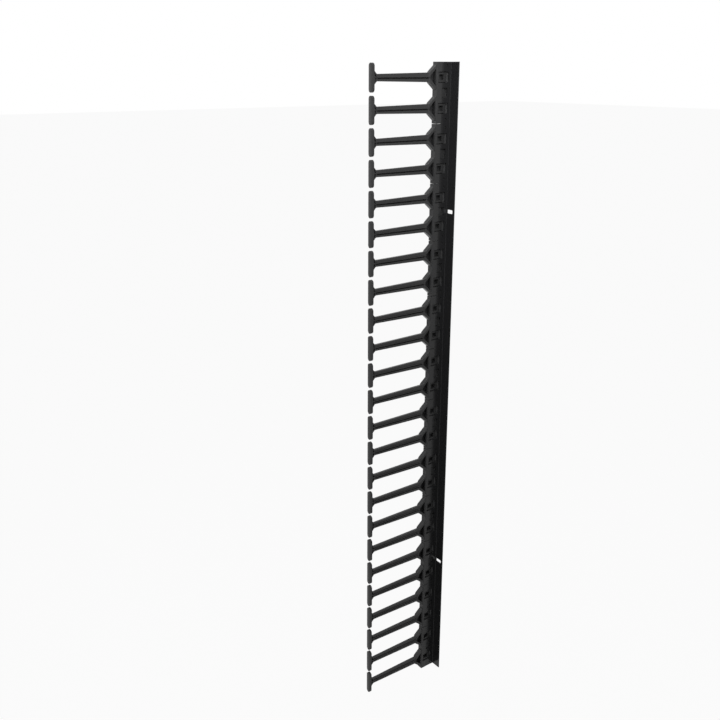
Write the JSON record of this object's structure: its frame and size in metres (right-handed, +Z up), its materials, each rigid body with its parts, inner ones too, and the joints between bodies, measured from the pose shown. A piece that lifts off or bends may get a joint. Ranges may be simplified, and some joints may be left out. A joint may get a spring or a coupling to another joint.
{
  "type": "vertical cable manager",
  "caption": "Tall steel L bracket that bolts to a rack post by its slotted flange and carries a column of moulded modules with T-ended cable fingers.",
  "frame": {"origin": "on the outer mounting face of the flange, midway between the two mounting slots", "axes": "+Z up along the bracket; +X from the finger tips towards the rack post, out of the mounting face; -Y is the front, the side the flange reaches towards"},
  "size_m": [0.1481, 0.0269, 1.0662],
  "materials": {
    "steel_powder_coat": "smooth semi-gloss black powder coat on folded sheet steel",
    "moulded_plastic": "fine-grained black glass-filled moulding, satin"
  },
  "bodies": {
    "root": {"mounting_bracket": "steel_powder_coat", "finger_module_01": "moulded_plastic", "finger_module_02": "moulded_plastic", "finger_module_03": "moulded_plastic", "finger_module_04": "moulded_plastic", "finger_module_05": "moulded_plastic", "finger_module_06": "moulded_plastic", "finger_module_07": "moulded_plastic", "finger_module_08": "moulded_plastic", "finger_module_09": "moulded_plastic", "finger_module_10": "moulded_plastic", "finger_module_11": "moulded_plastic", "finger_module_12": "moulded_plastic"}
  },
  "joints": []
}
